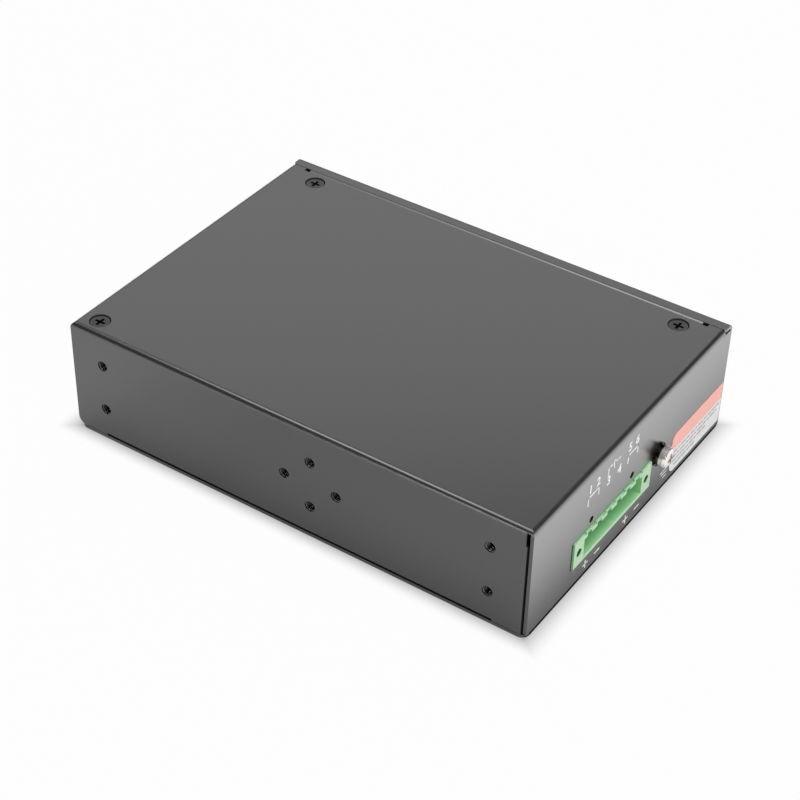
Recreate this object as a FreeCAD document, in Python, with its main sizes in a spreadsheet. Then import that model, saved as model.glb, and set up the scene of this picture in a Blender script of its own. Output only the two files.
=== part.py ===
import FreeCAD, Part
import math
import os
import Sketcher
from FreeCAD import Placement, Rotation, Vector

# An industrial ethernet switch in a folded sheet-metal case, lying on its side.
# Millimetres. X runs along the long mounting face, Y from that face to the port panel, Z up.
# The origin is on the resting face, under the middle of the case.

SIZES = {
    # case and base, both folded from one thickness of coated steel sheet
    "case_width": 148.0,
    "case_depth": 106.0,
    "case_height": 36.0,
    "sheet_thickness": 1.0,
    "bend_radius": 1.6,
    "seat_gap": 0.15,
    "cheek_gap": 0.3,
    "base_side_inset": 0.25,
    "seam_gap": 0.2,
    "strip_depth": 4.1,
    "strip_corner": 1.0,
    "tongue_length": 2.6,
    "tongue_end_inset": 6.2,
    "joggle_run": 1.2,
    "notch_width": 1.8,
    "notch_depth": 1.2,
    "foot_slot_height": 0.75,
    "foot_slot_inset": 10.3,
    "corner_seam": 0.35,
    "corner_relief_width": 1.1,
    "corner_relief_height": 4.2,
    "flange_corner": 2.5,
    # tapped and plunged holes in the long face
    "tapped_radius": 1.65,
    "collar_wall": 0.65,
    "collar_length": 1.2,
    "left_hole_inset": 10.7,
    "right_hole_inset": 12.1,
    "hole_rise": 15.0,
    "hole_height": 18.0,
    "middle_hole_offset": 6.8,
    "middle_hole_spread": 16.7,
    # screws through the top of the case into three pillars
    "pillar_flats": 5.0,
    "thread_radius": 1.5,
    "thread_clearance": 0.02,
    "pillar_bore_depth": 10.0,
    "case_screw_head": 2.7,
    "case_screw_sink": 0.33,
    "countersink_gap": 0.02,
    "case_screw_length": 8.0,
    "rear_pillar_side_inset": 6.3,
    "rear_pillar_inset": 5.2,
    "front_pillar_side_inset": 12.2,
    "front_pillar_inset": 9.4,
    # circuit board and what holds it
    "standoff_height": 5.4,
    "standoff_flats": 5.0,
    "board_thickness": 1.6,
    "board_side_gap": 1.6,
    "board_rear_gap": 3.0,
    "board_front_gap": 1.4,
    "pillar_clearance": 0.6,
    "hole_clearance": 0.1,
    "pan_head_radius": 2.75,
    "pan_head_height": 2.0,
    "board_screw_length": 6.0,
    "standoff_side_inset": 8.0,
    "left_standoff_inset": 20.0,
    "right_standoff_inset": 12.0,
    "front_standoff_inset": 23.0,
    # six-pole power and alarm header with screw flanges
    "pole_pitch": 5.08,
    "header_middle_y": -11.2,
    "header_depth": 12.0,
    "header_height": 8.6,
    "header_wall": 1.0,
    "header_back": 1.6,
    "header_flange_width": 5.0,
    "header_flange_depth": 6.0,
    "header_proud": 0.5,
    "header_cutout_gap": 0.25,
    "plug_screw_inset": 2.54,
    "plug_screw_radius": 1.25,
    "header_nut_side": 4.6,
    "header_nut_thickness": 1.8,
    "coding_slot_width": 2.2,
    "coding_slot_depth": 3.6,
    "coding_rib_width": 3.2,
    "coding_rib_height": 0.6,
    "pin_side": 1.0,
    "pin_recess": 4.3,
    "pin_tail": 1.4,
    "sight_hole_radius": 1.0,
    "sight_hole_height": 19.1,
    "sight_hole_spread": 21.4,
    "sight_hole_middle_y": -12.2,
    # earth screw on the same end
    "ground_y": 13.6,
    "ground_height": 16.1,
    "ground_head_radius": 3.15,
    "ground_head_height": 2.3,
    "ground_screw_length": 7.0,
    "spring_washer_radius": 3.0,
    "spring_washer_thickness": 0.9,
    "tooth_washer_radius": 3.5,
    "tooth_washer_thickness": 0.6,
    "tooth_gap": 0.7,
    "tooth_depth": 0.9,
    "washer_clearance": 0.12,
    "ground_nut_radius": 3.0,
    "ground_nut_thickness": 1.5,
    # stuck-on label beside the earth screw
    "label_gap": 4.9,
    "label_height": 13.4,
    "label_foot": 3.0,
    "label_edge_gap": 0.2,
    "label_thickness": 0.12,
    "label_corner": 2.6,
    # stacked ethernet ports
    "port_pitch": 13.97,
    "port_block_width": 57.4,
    "port_block_height": 25.5,
    "port_block_depth": 29.0,
    "port_block_gap": 10.0,
    "port_proud": 0.4,
    "shield_thickness": 0.25,
    "cutout_gap": 0.25,
    "port_width": 11.9,
    "port_height": 6.9,
    "port_foot": 3.3,
    "port_cavity_depth": 14.0,
    "latch_width": 6.4,
    "latch_height": 1.5,
    "link_lamp_gap": 0.5,
    "link_lamp_height": 1.4,
    "link_lamp_depth": 3.0,
    "contact_width": 0.4,
    "contact_pitch": 1.02,
    "contact_thickness": 0.3,
    "contact_length": 8.0,
    "contact_setback": 2.6,
    # cages for plug-in optical modules
    "cage_width": 14.0,
    "cage_height": 9.8,
    "cage_length": 48.7,
    "cage_wall": 0.4,
    "cage_proud": 1.0,
    "cage_pitch": 17.0,
    "cage_gap": 7.6,
    "module_connector_width": 11.8,
    "module_connector_depth": 8.0,
    "module_connector_height": 5.4,
    "card_slot_width": 9.4,
    "card_slot_height": 1.3,
    # indicator lamps behind the port panel
    "lamp_inset": 21.5,
    "lamp_radius": 1.5,
    "lamp_proud": 0.9,
    "lamp_dome": 0.7,
    "lamp_block_width": 4.8,
    "lamp_block_depth": 6.6,
    "lamp_first": 4.6,
    "lamp_pitch": 6.0,
    "lamp_hole_gap": 0.1,
    # parts on the circuit board
    "chip_side": 20.0,
    "chip_height": 1.8,
    "pad_thickness": 0.5,
    "sink_side": 28.0,
    "sink_base": 2.0,
    "fin_height": 8.0,
    "fin_thickness": 1.2,
    "transformer_width": 12.6,
    "transformer_depth": 9.4,
    "transformer_height": 6.4,
    "capacitor_radius": 5.0,
    "capacitor_height": 16.0,
    "capacitor_pitch": 12.5,
    "inductor_side": 12.0,
    "inductor_height": 7.0,
    "relay_width": 7.5,
    "relay_length": 15.0,
    "relay_height": 10.0,
    "fuse_radius": 2.5,
    "fuse_length": 20.0,
    "fuse_cap_length": 5.0,
    "fuse_cap_wall": 0.2,
    "disc_radius": 4.5,
    "disc_thickness": 3.6,
    "disc_pitch": 10.0,
    "choke_radius": 8.5,
    "choke_bore_radius": 3.0,
    "choke_height": 7.0,
    "choke_bevel": 1.5,
    "choke_carrier_height": 1.2,
    "entry_gap": 4.6,
    "part_gap": 1.5,
    "can_rear_gap": 6.0,
    "sink_rear_gap": 13.0,
    "fuse_rear_gap": 3.0,
    "relay_gap": 4.0,
    "transformer_gap": 2.7,
    "small_chip_side": 5.2,
    "small_chip_height": 1.5,
    "crystal_length": 11.0,
    "crystal_width": 4.6,
    "crystal_height": 3.5,
}

PORT_COLUMNS = 4
CONTACTS_PER_PORT = 8
POLES = 6
LAMPS = 4
FINS = 9
TEETH = 10
ROUND_CROWN = ((0.6, 1.0), (0.88, 0.82), (1.0, 0.5))

doc = FreeCAD.newDocument("ethernet_switch")
sheet = doc.addObject("Spreadsheet::Sheet", "Sizes")
for row, (alias, number) in enumerate(SIZES.items(), 1):
    sheet.set(f"A{row}", alias)
    sheet.set(f"B{row}", str(number))
    sheet.setAlias(f"B{row}", alias)
doc.recompute()


class Size:
    """A length that carries its number and the sheet expression that gives it."""

    def __init__(self, text, number):
        self.text = text
        self.number = number

    def joined(self, sign, other, number):
        return Size(f"({self.text} {sign} {other.text})", number)

    def __add__(self, other):
        other = as_size(other)
        return self.joined("+", other, self.number + other.number)

    def __sub__(self, other):
        other = as_size(other)
        return self.joined("-", other, self.number - other.number)

    def __mul__(self, other):
        other = as_size(other)
        return self.joined("*", other, self.number * other.number)

    def __truediv__(self, other):
        other = as_size(other)
        return self.joined("/", other, self.number / other.number)

    def __radd__(self, other):
        return as_size(other) + self

    def __rsub__(self, other):
        return as_size(other) - self

    def __rmul__(self, other):
        return as_size(other) * self

    def __neg__(self):
        return Size(f"(-1 * {self.text})", -self.number)


def as_size(value):
    """A plain number becomes a size too, so the two can be mixed."""
    return value if isinstance(value, Size) else Size(f"({float(value)!r})", float(value))


def cell(alias):
    """The size in one cell of the sheet."""
    return Size(f"Sizes.{alias}", float(sheet.get(alias)))


NODES = []
ALONG = {
    "x": Rotation(Vector(0, 1, 0), 90),
    "y": Rotation(Vector(1, 0, 0), -90),
    "-y": Rotation(Vector(1, 0, 0), 90),
    "z": Rotation(),
}


def node(label, thing):
    """One separate piece of the product: its label names its file."""
    thing.Label = label
    NODES.append(thing)
    return thing


def bind(thing, prop, size):
    thing.setExpression(prop, as_size(size).text)


def put(thing, place, turn=None):
    """Places an object: the turn is fixed, the place follows the sheet."""
    if turn is not None:
        thing.Placement = Placement(Vector(), turn)
    for axis, size in zip("xyz", place):
        bind(thing, f"Placement.Base.{axis}", size)
    return thing


def block(name, low, high):
    """A box between two corners."""
    box = doc.addObject("Part::Box", name)
    for prop, start, end in zip(("Length", "Width", "Height"), low, high):
        bind(box, prop, as_size(end) - start)
    return put(box, low)


def rod(name, radius, start, length, axis="z"):
    """A cylinder from its start along an axis."""
    cylinder = doc.addObject("Part::Cylinder", name)
    bind(cylinder, "Radius", radius)
    bind(cylinder, "Height", length)
    return put(cylinder, start, ALONG[axis])


def cone(name, first_radius, last_radius, start, length):
    taper = doc.addObject("Part::Cone", name)
    bind(taper, "Radius1", first_radius)
    bind(taper, "Radius2", last_radius)
    bind(taper, "Height", length)
    return put(taper, start)


def hex_bar(name, flats, start, length):
    """A hexagonal bar whose flats face along X."""
    prism = doc.addObject("Part::Prism", name)
    prism.Polygon = 6
    bind(prism, "Circumradius", as_size(flats) / math.sqrt(3))
    bind(prism, "Height", length)
    return put(prism, start, Rotation(Vector(0, 0, 1), 30))


def fuse(name, things):
    joined = doc.addObject("Part::MultiFuse", name)
    joined.Shapes = things
    joined.Refine = True
    return joined


def cut(name, base, tools):
    """The base less one tool or several."""
    result = doc.addObject("Part::Cut", name)
    result.Base = base
    result.Tool = tools[0] if len(tools) == 1 else fuse(name + "_tools", tools)
    result.Refine = True
    return result


def group(name, things):
    """Separate like pieces in one node."""
    pieces = doc.addObject("Part::Compound", name)
    pieces.Links = things
    return pieces


def new_body(name):
    return doc.addObject("PartDesign::Body", name)


def new_sketch(body, name, role, shift=0):
    """A sketch on one of the body's own planes, moved along its normal."""
    planes = [feature for feature in body.Origin.OriginFeatures if feature.Role == role]
    sketch = body.newObject("Sketcher::SketchObject", name)
    sketch.AttachmentSupport = (planes[0], "")
    sketch.MapMode = "FlatFace"
    bind(sketch, "AttachmentOffset.Base.z", shift)
    return sketch


def outline(body, name, role, points, shift=0):
    """A closed outline whose corners follow the sheet."""
    sketch = new_sketch(body, name, role, shift)
    points = [(as_size(first), as_size(second)) for first, second in points]
    corners = [Vector(first.number, second.number, 0) for first, second in points]
    count = len(points)
    for index in range(count):
        sketch.addGeometry(Part.LineSegment(corners[index], corners[(index + 1) % count]), False)
    for index in range(count):
        sketch.addConstraint(Sketcher.Constraint("Coincident", index, 2, (index + 1) % count, 1))
    for index, pair in enumerate(points):
        for kind, size in zip(("DistanceX", "DistanceY"), pair):
            number = sketch.addConstraint(Sketcher.Constraint(kind, -1, 1, index, 1, size.number))
            sketch.setExpression(f"Constraints[{number}]", size.text)
    return sketch


def circle(body, name, role, radius, shift=0):
    """A circle about the body's own axis."""
    sketch = new_sketch(body, name, role, shift)
    radius = as_size(radius)
    sketch.addGeometry(Part.Circle(Vector(), Vector(0, 0, 1), radius.number), False)
    sketch.addConstraint(Sketcher.Constraint("Coincident", 0, 3, -1, 1))
    number = sketch.addConstraint(Sketcher.Constraint("Radius", 0, radius.number))
    sketch.setExpression(f"Constraints[{number}]", radius.text)
    return sketch


def rectangle(low, high):
    return [(low[0], low[1]), (high[0], low[1]), (high[0], high[1]), (low[0], high[1])]


def pad(body, name, sketch, length, side="One side", back=False):
    feature = body.newObject("PartDesign::Pad", name)
    feature.Profile = sketch
    feature.SideType = side
    feature.Reversed = back
    bind(feature, "Length", length)
    doc.recompute()
    return feature


def pocket(body, name, sketch, depth):
    """Cuts from the sketch down into the body, and makes sure that it did."""
    before = body.Shape.Volume
    feature = body.newObject("PartDesign::Pocket", name)
    feature.Profile = sketch
    bind(feature, "Length", depth)
    doc.recompute()
    if body.Shape.Volume >= before:
        raise RuntimeError(f"{name} cuts nothing")
    return feature


def edges_at(shape, **places):
    """Names of the edges that lie whole at the given coordinates."""
    names = []
    for number, edge in enumerate(shape.Edges, 1):
        box = edge.BoundBox
        spans = {"x": (box.XMin, box.XMax), "y": (box.YMin, box.YMax), "z": (box.ZMin, box.ZMax)}
        if all(abs(end - as_size(place).number) < 1e-4 for axis, place in places.items() for end in spans[axis]):
            names.append(f"Edge{number}")
    return names


def dress_edges(body, name, feature, kind, prop, size, places):
    """Dresses each edge that lies at one of the places, and makes sure that there are some."""
    names = []
    for place in places:
        names += edges_at(feature.Shape, **place)
    if not names:
        raise RuntimeError(f"{name} finds no edge")
    dressed = body.newObject(kind, name)
    dressed.Base = (feature, names)
    bind(dressed, prop, size)
    doc.recompute()
    return dressed


def round_edges(body, name, feature, radius, places):
    return dress_edges(body, name, feature, "PartDesign::Fillet", "Radius", radius, places)


def bevel_edges(body, name, feature, width, places):
    return dress_edges(body, name, feature, "PartDesign::Chamfer", "Size", width, places)


half_width = cell("case_width") / 2
rear = cell("case_depth") / -2
front = cell("case_depth") / 2
top = cell("case_height")
wall = cell("sheet_thickness")
bend = cell("bend_radius")
floor_top = wall
inner_top = top - wall
flange_foot = floor_top + cell("seat_gap")
strip_rear = front - cell("strip_depth")
cover_front = strip_rear - cell("seam_gap")
panel_back = front - wall
board_under = floor_top + cell("standoff_height")
board_top = board_under + cell("board_thickness")
past = 1.0

header_front = half_width + cell("header_proud")
header_rear = header_front - cell("header_depth")
header_length = cell("pole_pitch") * (POLES + 2)
header_start = cell("header_middle_y") - header_length / 2
header_end = cell("header_middle_y") + header_length / 2
header_top = board_top + cell("header_height")
header_axis_height = board_top + cell("header_height") / 2

lamp_x = half_width - cell("lamp_inset")
port_front = front + cell("port_proud")
port_back = port_front - cell("port_block_depth")
port_end = lamp_x - cell("port_block_gap")
port_start = port_end - cell("port_block_width")
port_middle = port_end - cell("port_block_width") / 2
port_top = board_top + cell("port_block_height")
port_columns = [port_middle + cell("port_pitch") * (column - (PORT_COLUMNS - 1) / 2)
                for column in range(PORT_COLUMNS)]

cage_front = front + cell("cage_proud")
cage_back = cage_front - cell("cage_length")
cage_top = board_top + cell("cage_height")
right_cage = port_start - cell("cage_gap") - cell("cage_width") / 2
cage_centres = [right_cage - cell("cage_pitch"), right_cage]

lamp_heights = [board_top + cell("lamp_first") + cell("lamp_pitch") * index for index in range(LAMPS)]

ground_screw_seat = half_width + cell("tooth_washer_thickness") + cell("spring_washer_thickness")


def pillar_places():
    """The three pillars: one by the long face, two by the port panel."""
    front_x = half_width - cell("front_pillar_side_inset")
    front_y = front - cell("front_pillar_inset")
    return [
        (cell("rear_pillar_side_inset") - half_width, rear + cell("rear_pillar_inset")),
        (-front_x, front_y),
        (front_x, front_y),
    ]


def tapped_hole_places():
    """X and Z of the eight tapped holes: a pair near each end and a diamond between them."""
    left = cell("left_hole_inset") - half_width
    right = half_width - cell("right_hole_inset")
    middle = cell("middle_hole_offset")
    spread = cell("middle_hole_spread") / 2
    height = cell("hole_height")
    rise = cell("hole_rise") / 2
    return [
        (left, height - rise), (left, height + rise), (right, height - rise), (right, height + rise),
        (middle - spread, height), (middle + spread, height), (middle, height - rise), (middle, height + rise),
    ]


def folded_box(name, low, high, radius):
    """A box with the three upper bends of the cover rounded."""
    body = new_body(name)
    footprint = outline(body, name + "_footprint", "XY_Plane", rectangle(low, high), low[2])
    walls = pad(body, name + "_walls", footprint, high[2] - low[2])
    bends = [{"y": low[1], "z": high[2]}, {"x": low[0], "z": high[2]}, {"x": high[0], "z": high[2]}]
    round_edges(body, name + "_bends", walls, radius, bends)
    return body


def flange_corner_cutter(name, corner_x, inwards, radius):
    """What a rounded lower corner takes off the long flange."""
    centre_x = corner_x + inwards * radius
    sides = sorted([corner_x - inwards * past, centre_x], key=lambda side: side.number)
    blank = block(name + "_blank", (sides[0], rear - past, flange_foot - past),
                  (sides[1], rear + wall, flange_foot + radius))
    centre = (centre_x, rear - 2 * past, flange_foot + radius)
    return cut(name, blank, [rod(name + "_arc", radius, centre, wall + 4 * past, "y")])


def case_shell():
    """The cover: top, long flange and two end flanges folded from one sheet."""
    outside = folded_box("cover_outside", (-half_width, rear, flange_foot), (half_width, cover_front, top), bend)
    inside = folded_box("cover_inside", (wall - half_width, rear + wall, flange_foot - past),
                        (half_width - wall, front, inner_top), bend - wall)
    folded = cut("cover_folded", outside, [inside])

    # Each end flange reaches on into the bends of the base, with its corners rounded to clear them.
    cheek_end = panel_back - cell("seat_gap")
    cheek_top = inner_top - cell("cheek_gap")
    cheeks = []
    for side, start in (("left", -half_width), ("right", half_width - wall)):
        cheek = new_body(f"{side}_cheek")
        face = outline(cheek, f"{side}_cheek_face", "YZ_Plane",
                       rectangle((cover_front - bend, flange_foot), (cheek_end, cheek_top)), start)
        plate = pad(cheek, f"{side}_cheek_plate", face, wall)
        round_edges(cheek, f"{side}_cheek_corners", plate, bend,
                    [{"y": cheek_end, "z": flange_foot}, {"y": cheek_end, "z": cheek_top}])
        cheeks.append(cheek)

    # A joggled tongue runs on under the return strip of the port panel.
    tongue_top = inner_top - cell("seat_gap")
    tongue_half = half_width - cell("tongue_end_inset")
    tongue = new_body("joggled_tongue")
    joggle = outline(tongue, "joggle", "YZ_Plane", [
        (cover_front - cell("joggle_run") - wall, inner_top),
        (cover_front, inner_top),
        (cover_front, tongue_top),
        (cover_front + cell("tongue_length"), tongue_top),
        (cover_front + cell("tongue_length"), tongue_top - wall),
        (cover_front - cell("joggle_run"), tongue_top - wall),
    ])
    pad(tongue, "tongue_width", joggle, tongue_half * 2, "Symmetric")

    collars = [rod(f"collar_{index}", cell("tapped_radius") + cell("collar_wall"), (x, rear + wall, z),
                   cell("collar_length"), "y") for index, (x, z) in enumerate(tapped_hole_places())]
    whole = fuse("cover_whole", [folded, tongue] + cheeks + collars)

    tools = [rod(f"tapped_{index}", cell("tapped_radius"), (x, rear - past, z),
                 wall + cell("collar_length") + 2 * past, "y")
             for index, (x, z) in enumerate(tapped_hole_places())]

    sink = cell("case_screw_head") + cell("countersink_gap") + cell("case_screw_sink")
    for index, (x, y) in enumerate(pillar_places()):
        tools.append(cone(f"countersink_{index}", sink - 2 * wall, sink + wall, (x, y, top - 2 * wall),
                          3 * wall))

    for side in (-1, 1):
        edge = side * tongue_half
        half = cell("notch_width") / 2
        tools.append(block(f"tongue_notch_{side + 1}",
                           (edge - half, cover_front - cell("notch_depth"), inner_top - 2 * wall),
                           (edge + half, cover_front + past, top + past)))

    # The long flange laps the left end flange and stops short of the right one.
    seam_x = half_width - wall
    seam_top = top - bend
    flange_end = seam_x - cell("corner_seam")
    relief = cell("corner_relief_width")
    relief_foot = seam_top + bend / 2 - cell("corner_relief_height")
    tools.append(block("right_seam", (flange_end, rear - past, flange_foot - past),
                       (seam_x, rear + wall, seam_top)))
    tools.append(block("right_relief", (seam_x - relief, rear - past, relief_foot),
                       (seam_x, rear + wall, seam_top + bend / 2)))
    tools.append(block("left_seam", (-half_width - past, rear + wall, flange_foot - past),
                       (wall - half_width, rear + wall + cell("seam_gap"), seam_top)))
    tools.append(block("left_relief", (-half_width - past, rear + wall, seam_top - relief),
                       (wall - half_width, rear + wall + relief, seam_top + bend / 2)))
    tools.append(flange_corner_cutter("left_corner", -half_width, 1, cell("flange_corner")))
    tools.append(flange_corner_cutter("right_corner", flange_end, -1, cell("flange_corner") / 3))
    slot_half = half_width - cell("foot_slot_inset")
    tools.append(block("foot_slot", (-slot_half, rear - past, flange_foot - past),
                       (slot_half, rear + wall, floor_top + cell("foot_slot_height"))))

    gap = cell("header_cutout_gap")
    tools.append(block("header_cutout", (half_width - wall - past, header_start - gap, board_top - gap),
                       (half_width + past, header_end + gap, header_top + gap)))
    for side in (-1, 1):
        y = cell("sight_hole_middle_y") + side * cell("sight_hole_spread") / 2
        tools.append(rod(f"sight_hole_{side + 1}", cell("sight_hole_radius"),
                         (half_width - wall - past, y, cell("sight_hole_height")), wall + 2 * past, "x"))
    tools.append(rod("ground_hole", cell("thread_radius") + cell("hole_clearance"),
                     (half_width - wall - past, cell("ground_y"), cell("ground_height")), wall + 2 * past, "x"))
    node("case_shell", cut("cover", whole, tools))


def base_panel():
    """The base: resting plate, port panel and return strip folded from one sheet."""
    body = new_body("base_folded")
    section = outline(body, "base_section", "YZ_Plane", [
        (rear, 0), (front, 0), (front, top), (strip_rear, top),
        (strip_rear, inner_top), (panel_back, inner_top), (panel_back, floor_top), (rear, floor_top),
    ])
    base_side = half_width - cell("base_side_inset")
    sheet_pad = pad(body, "base_width", section, base_side * 2, "Symmetric")
    outer = round_edges(body, "outer_bends", sheet_pad, bend, [{"y": front, "z": 0}, {"y": front, "z": top}])
    inner = round_edges(body, "inner_bends", outer, bend - wall,
                        [{"y": panel_back, "z": floor_top}, {"y": panel_back, "z": inner_top}])
    plan = round_edges(body, "rear_corners", inner, cell("flange_corner"),
                       [{"x": -base_side, "y": rear}, {"x": base_side, "y": rear}])
    round_edges(body, "strip_corners", plan, cell("strip_corner"),
                [{"x": -base_side, "y": strip_rear}, {"x": base_side, "y": strip_rear}])

    gap = cell("cutout_gap")
    tools = [block("port_cutout", (port_start - gap, panel_back - past, board_top - gap),
                   (port_end + gap, front + past, port_top + gap))]
    for index, centre in enumerate(cage_centres):
        half = cell("cage_width") / 2 + gap
        tools.append(block(f"cage_cutout_{index}", (centre - half, panel_back - past, board_top - gap),
                           (centre + half, front + past, cage_top + gap)))
    for index, height in enumerate(lamp_heights):
        tools.append(rod(f"lamp_hole_{index}", cell("lamp_radius") + cell("lamp_hole_gap"),
                         (lamp_x, panel_back - past, height), wall + 2 * past, "y"))
    node("base_panel", cut("base", body, tools))


def cross_points(reach, half):
    """The outline of a cross recess."""
    return [(reach, -half), (reach, half), (half, half), (half, reach), (-half, reach), (-half, half),
            (-reach, half), (-reach, -half), (-half, -half), (-half, -reach), (half, -reach), (half, -half)]


def countersunk_screw(name, head, shank, length, place):
    """A turned screw with a 90 degree head and a cross recess; the thread is left plain."""
    body = new_body(name)
    profile = outline(body, name + "_profile", "XZ_Plane", [
        (0, 0), (head, 0), (shank, shank - head), (shank, -length), (0, -length)])
    turned = body.newObject("PartDesign::Revolution", name + "_turned")
    turned.Profile = profile
    turned.ReferenceAxis = (profile, ["V_Axis"])
    turned.Angle = 360
    doc.recompute()
    recess = outline(body, name + "_cross", "XY_Plane", cross_points(head * 0.6, head * 0.15))
    pocket(body, name + "_recess", recess, head * 0.42)
    return put(body, place)


def pan_screw(name, head, head_height, shank, length, place, axis="z", crown=((1.0, 1.0),)):
    """A cross-recessed screw, placed under its head; crown shapes the head, in shares of its size."""
    body = new_body(name)
    profile = outline(body, name + "_profile", "XZ_Plane", [
        (0, head_height), *((head * reach, head_height * rise) for reach, rise in crown),
        (head, 0), (shank, 0), (shank, -length), (0, -length)])
    turned = body.newObject("PartDesign::Revolution", name + "_turned")
    turned.Profile = profile
    turned.ReferenceAxis = (profile, ["V_Axis"])
    turned.Angle = 360
    doc.recompute()
    recess = outline(body, name + "_cross", "XY_Plane", cross_points(head * 0.55, head * 0.14), head_height)
    pocket(body, name + "_recess", recess, head_height * 0.6)
    return put(body, place, ALONG[axis])


def case_fasteners():
    """Three pillars stand on the base, and a countersunk screw goes into each."""
    pillars = []
    screws = []
    bore = cell("thread_radius") + cell("thread_clearance")
    sink = cell("case_screw_head") + cell("countersink_gap") + cell("case_screw_sink") - wall
    for index, (x, y) in enumerate(pillar_places()):
        bar = hex_bar(f"pillar_bar_{index}", cell("pillar_flats"), (x, y, floor_top), inner_top - floor_top)
        hole = rod(f"pillar_bore_{index}", bore, (x, y, inner_top - cell("pillar_bore_depth")),
                   cell("pillar_bore_depth") + past)
        mouth = cone(f"pillar_mouth_{index}", bore, sink, (x, y, inner_top + bore - sink), sink - bore)
        pillars.append(cut(f"pillar_{index}", bar, [hole, mouth]))
        screws.append(countersunk_screw(f"case_screw_{index}", cell("case_screw_head"), cell("thread_radius"),
                                        cell("case_screw_length"), (x, y, top - cell("case_screw_sink"))))
    node("case_pillars", group("pillars", pillars))
    node("case_screws", group("cover_screws", screws))


def terminal_pins():
    """Six square pins: each lies along the header and turns down through the board."""
    pins = []
    half = cell("pin_side") / 2
    tip = header_front - cell("pin_recess")
    bend_x = header_rear - cell("pin_side")
    for pole in range(POLES):
        body = new_body(f"pin_{pole}")
        shape = outline(body, f"pin_{pole}_shape", "XZ_Plane", [
            (tip, header_axis_height - half), (tip, header_axis_height + half),
            (bend_x - half, header_axis_height + half), (bend_x - half, board_under - cell("pin_tail")),
            (bend_x + half, board_under - cell("pin_tail")), (bend_x + half, header_axis_height - half)])
        pad(body, f"pin_{pole}_side", shape, cell("pin_side"), "Symmetric")
        y = cell("header_middle_y") + cell("pole_pitch") * (pole - (POLES - 1) / 2)
        pins.append(put(body, (0, y, 0)))
    return node("terminal_pins", group("pins", pins))


def terminal_header(pins):
    """The moulded header: a shroud with coding slots and a screw flange at each end."""
    flange = cell("header_flange_width")
    rib = cell("coding_rib_height")
    roof = header_top - rib
    shroud = block("shroud", (header_rear, header_start + flange - cell("header_wall"), board_top),
                   (header_front, header_end - flange + cell("header_wall"), roof))
    parts = [shroud]
    tools = [block("header_cavity", (header_rear + cell("header_back"), header_start + flange,
                                     board_top + cell("header_wall")),
                   (header_front + past, header_end - flange, roof - cell("header_wall")))]
    for pole in range(POLES):
        y = cell("header_middle_y") + cell("pole_pitch") * (pole - (POLES - 1) / 2)
        parts.append(block(f"coding_rib_{pole}", (header_rear, y - cell("coding_rib_width") / 2, roof),
                           (header_front, y + cell("coding_rib_width") / 2, header_top)))
        tools.append(block(f"coding_slot_{pole}",
                           (header_front - cell("coding_slot_depth"), y - cell("coding_slot_width") / 2,
                            roof - cell("header_wall") - past),
                           (header_front + past, y + cell("coding_slot_width") / 2, roof + rib / 3)))
    nuts = []
    nut_x = header_front - cell("header_flange_depth")
    for side, edge in ((-1, header_start), (1, header_end)):
        inner = edge - side * flange
        low, high = (edge, inner) if side < 0 else (inner, edge)
        parts.append(block(f"flange_{side + 1}", (nut_x, low, board_top), (header_front, high, header_top)))
        hole_y = edge - side * cell("plug_screw_inset")
        tools.append(rod(f"flange_hole_{side + 1}", cell("plug_screw_radius"),
                         (nut_x - past, hole_y, header_axis_height),
                         cell("header_flange_depth") + 2 * past, "x"))
        half = cell("header_nut_side") / 2
        nut_low = (nut_x - cell("header_nut_thickness"), hole_y - half, header_axis_height - half)
        nut_high = (nut_x, hole_y + half, header_axis_height + half)
        plate = block(f"nut_plate_{side + 1}", nut_low, nut_high)
        tapped = rod(f"nut_bore_{side + 1}", cell("plug_screw_radius"),
                     (nut_low[0] - past, hole_y, header_axis_height),
                     cell("header_nut_thickness") + 2 * past, "x")
        nuts.append(cut(f"header_nut_{side + 1}", plate, [tapped]))
    moulded = cut("header_moulded", fuse("header_whole", parts), tools + [pins])
    nut_group = group("flange_nuts", nuts)
    node("terminal_header", cut("header", moulded, [nut_group]))
    node("header_nuts", nut_group)


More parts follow.
